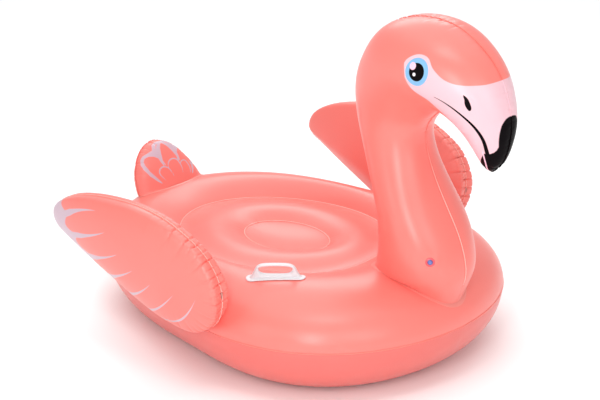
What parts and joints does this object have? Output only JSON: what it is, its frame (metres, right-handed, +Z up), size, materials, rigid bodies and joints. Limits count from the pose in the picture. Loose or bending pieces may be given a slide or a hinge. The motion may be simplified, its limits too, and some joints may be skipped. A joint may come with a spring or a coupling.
{
  "type": "inflatable pool float",
  "caption": "Ride-on inflatable pool float shaped like a flamingo, with a raised ring and seat, upright neck and hooked beak, flexing wings, tail, grab handles and plug valves.",
  "frame": {"origin": "middle of the float's plan outline, on the flat underside that rests on the floor", "axes": "+X towards the bird's beak, +Y towards its left wing, +Z up"},
  "size_m": [1.6058, 1.3914, 1.1782],
  "materials": {
    "film": "gloss",
    "film_low": "gloss",
    "white": "satin",
    "valve": "satin"
  },
  "bodies": {
    "float": {"body_bottom_panel": "film_low", "body_top_panel": "film", "handle_left": "white", "handle_right": "white", "neck_base_panel": "film", "neck_left_panel": "film", "neck_right_panel": "film", "seat_baffle": "film", "seat_bottom_panel": "film_low", "seat_pad_top": "film", "seat_top_panel": "film", "tail_base_panel": "film", "tail_front_panel": "film", "tail_rear_panel": "film", "valve_body_base": "valve", "valve_neck_base": "valve", "valve_tail_base": "valve"},
    "wing_left": {"wing_left_inner_panel": "film", "wing_left_outer_panel": "film", "valve_wing_left_base": "valve"},
    "wing_right": {"wing_right_inner_panel": "film", "wing_right_outer_panel": "film", "valve_wing_right_base": "valve"},
    "valve_neck_stem": {"valve_neck_stem": "valve"},
    "valve_neck_plug": {"valve_neck_plug": "valve"},
    "valve_body_stem": {"valve_body_stem": "valve"},
    "valve_body_plug": {"valve_body_plug": "valve"},
    "valve_tail_stem": {"valve_tail_stem": "valve"},
    "valve_tail_plug": {"valve_tail_plug": "valve"},
    "valve_wing_left_stem": {"valve_wing_left_stem": "valve"},
    "valve_wing_left_plug": {"valve_wing_left_plug": "valve"},
    "valve_wing_right_stem": {"valve_wing_right_stem": "valve"},
    "valve_wing_right_plug": {"valve_wing_right_plug": "valve"}
  },
  "joints": [
    {"name": "wing_left_flex", "type": "hinge", "parent": "float", "child": "wing_left", "pos_m": [-0.0729, 0.58519, 0.18583], "axis": [-1, 0, 0], "range_deg": [0, 16], "stiffness_Nm_per_rad": 4, "springref_deg": -6.88},
    {"name": "wing_right_flex", "type": "hinge", "parent": "float", "child": "wing_right", "pos_m": [-0.0729, -0.58519, 0.18583], "axis": [1, 0, 0], "range_deg": [0, 16], "stiffness_Nm_per_rad": 4, "springref_deg": -6.88},
    {"name": "valve_neck_pull_out", "type": "slide", "parent": "float", "child": "valve_neck_stem", "axis": [0.5793, -0.799, 0.1613], "range_m": [0, 0.01]},
    {"name": "valve_neck_uncap", "type": "slide", "parent": "valve_neck_stem", "child": "valve_neck_plug", "axis": [0.5793, -0.799, 0.1613], "range_m": [0, 0.012]},
    {"name": "valve_body_pull_out", "type": "slide", "parent": "float", "child": "valve_body_stem", "axis": [-0.3274, 0.9354, -0.1338], "range_m": [0, 0.01]},
    {"name": "valve_body_uncap", "type": "slide", "parent": "valve_body_stem", "child": "valve_body_plug", "axis": [-0.3274, 0.9354, -0.1338], "range_m": [0, 0.012]},
    {"name": "valve_tail_pull_out", "type": "slide", "parent": "float", "child": "valve_tail_stem", "axis": [-0.9484, 0.0745, -0.3082], "range_m": [0, 0.01]},
    {"name": "valve_tail_uncap", "type": "slide", "parent": "valve_tail_stem", "child": "valve_tail_plug", "axis": [-0.9484, 0.0745, -0.3082], "range_m": [0, 0.012]},
    {"name": "valve_wing_left_pull_out", "type": "slide", "parent": "wing_left", "child": "valve_wing_left_stem", "axis": [0.0109, -0.9774, 0.2112], "range_m": [0, 0.01]},
    {"name": "valve_wing_left_uncap", "type": "slide", "parent": "valve_wing_left_stem", "child": "valve_wing_left_plug", "axis": [0.0109, -0.9774, 0.2112], "range_m": [0, 0.012]},
    {"name": "valve_wing_right_pull_out", "type": "slide", "parent": "wing_right", "child": "valve_wing_right_stem", "axis": [0.0109, 0.9774, 0.2112], "range_m": [0, 0.01]},
    {"name": "valve_wing_right_uncap", "type": "slide", "parent": "valve_wing_right_stem", "child": "valve_wing_right_plug", "axis": [0.0109, 0.9774, 0.2112], "range_m": [0, 0.012]}
  ]
}
